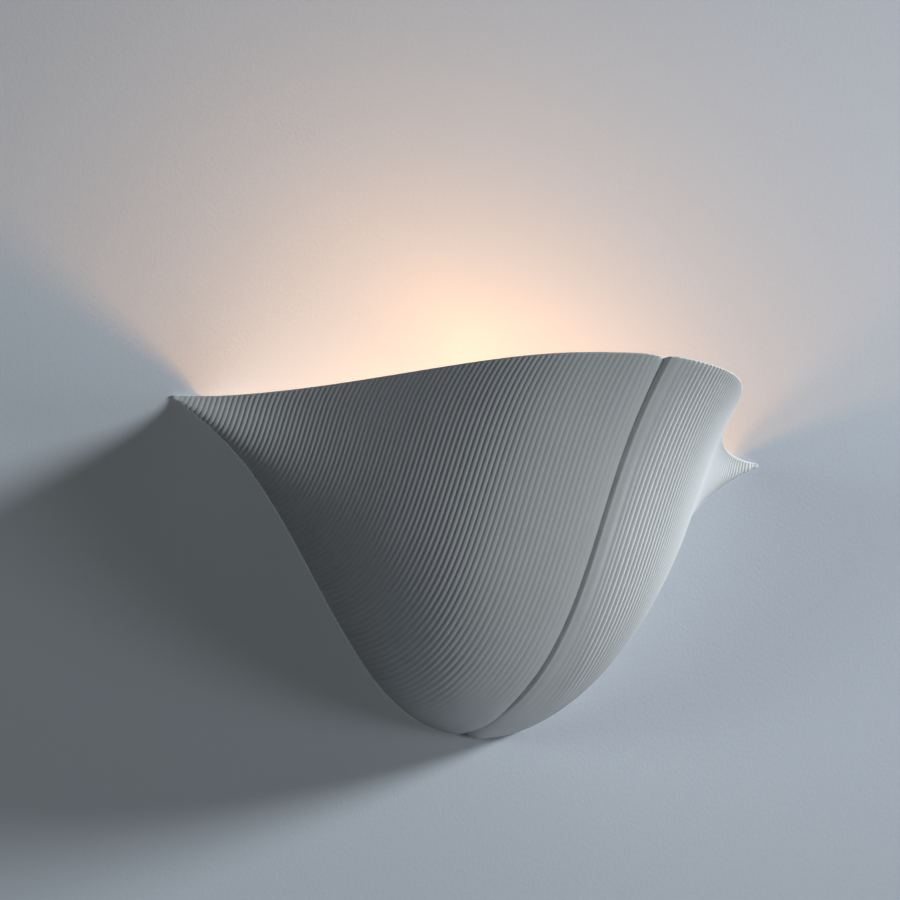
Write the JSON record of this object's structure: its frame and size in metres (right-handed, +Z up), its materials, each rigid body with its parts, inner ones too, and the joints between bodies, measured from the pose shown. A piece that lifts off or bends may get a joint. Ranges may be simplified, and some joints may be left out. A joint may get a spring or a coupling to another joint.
{
  "type": "wall light",
  "caption": "Fluted shell wall uplighter: one folded fan-shaped casting hung on a wall plate that carries a small screw lampholder, lamp and terminal block.",
  "frame": {"origin": "centre of the two wall fixing slots, on the wall plane", "axes": "+Z up, +X to the right seen from the room, +Y into the wall; the light stands out towards -Y"},
  "size_m": [0.3984, 0.2373, 0.1852],
  "materials": {
    "plaster": "unglazed matt white, fluted outside",
    "strap_steel": "zinc-plated strip",
    "screw_zinc": "bright zinc",
    "brass": "machined",
    "plate_white": "white powder coat",
    "nickel": "nickel plate",
    "black_rubber": "soft matt",
    "holder_white": "white glazed steatite",
    "spring_bronze": "spring bronze",
    "lamp_white": "white moulded",
    "lamp_opal": "opal diffuser",
    "black_glass": "black insulator",
    "terminal_white": "polyamide",
    "nylon": "natural nylon",
    "lead_brown": "sleeved lead",
    "lead_blue": "sleeved lead",
    "lead_green": "green and yellow sleeved lead"
  },
  "bodies": {
    "mounting": {"wall_plate": "plate_white", "cable_grommet": "black_rubber", "lamp_bracket": "plate_white", "bracket_screws": "screw_zinc", "bracket_nuts": "screw_zinc", "holder_body": "holder_white", "holder_thread": "brass", "holder_contact": "spring_bronze", "holder_screws": "screw_zinc", "holder_nipple": "strap_steel", "holder_nut": "strap_steel", "terminal_body": "terminal_white", "terminal_clamps": "brass", "terminal_screws": "screw_zinc", "terminal_fixing": "screw_zinc", "earth_screw": "screw_zinc", "earth_tag": "nickel", "earth_nut": "brass", "lead_live": "lead_brown", "lead_neutral": "lead_blue", "lead_earth": "lead_green"},
    "shell": {"shell": "plaster", "hanger_strap": "strap_steel", "strap_inserts": "brass", "strap_washers": "screw_zinc", "strap_screws": "screw_zinc"},
    "lock_travel_body": {"lock_tip": "nylon"},
    "lock_knob": {"lock_screw": "nickel"},
    "lamp_travel_body": {"lamp_contact": "nickel"},
    "lamp": {"lamp_cap": "nickel", "lamp_insulator": "black_glass", "lamp_collar": "lamp_white", "lamp_globe": "lamp_opal"}
  },
  "joints": [
    {"name": "shell_lift", "type": "slide", "parent": "mounting", "child": "shell", "axis": [0, 0, 1], "range_m": [0, 0.012]},
    {"name": "lock_travel", "type": "slide", "parent": "shell", "child": "lock_travel_body", "axis": [0, -1, 0], "range_m": [0, 0.0021]},
    {"name": "lock_turn", "type": "hinge", "parent": "lock_travel_body", "child": "lock_knob", "pos_m": [0, -0.02, 0.035], "axis": [0, -1, 0], "range_deg": [0, 1080]},
    {"name": "lamp_travel", "type": "slide", "parent": "mounting", "child": "lamp_travel_body", "axis": [0, 0, 1], "range_m": [0, 0.01129]},
    {"name": "lamp_turn", "type": "hinge", "parent": "lamp_travel_body", "child": "lamp", "pos_m": [0, -0.075, 0], "axis": [0, 0, 1], "range_deg": [0, 1440]}
  ],
  "couplings": [
    {"joint": "lock_travel", "follows": "lock_turn", "m_per_rad": 0.00011141},
    {"joint": "lamp_travel", "follows": "lamp_turn", "m_per_rad": 0.00044882}
  ]
}
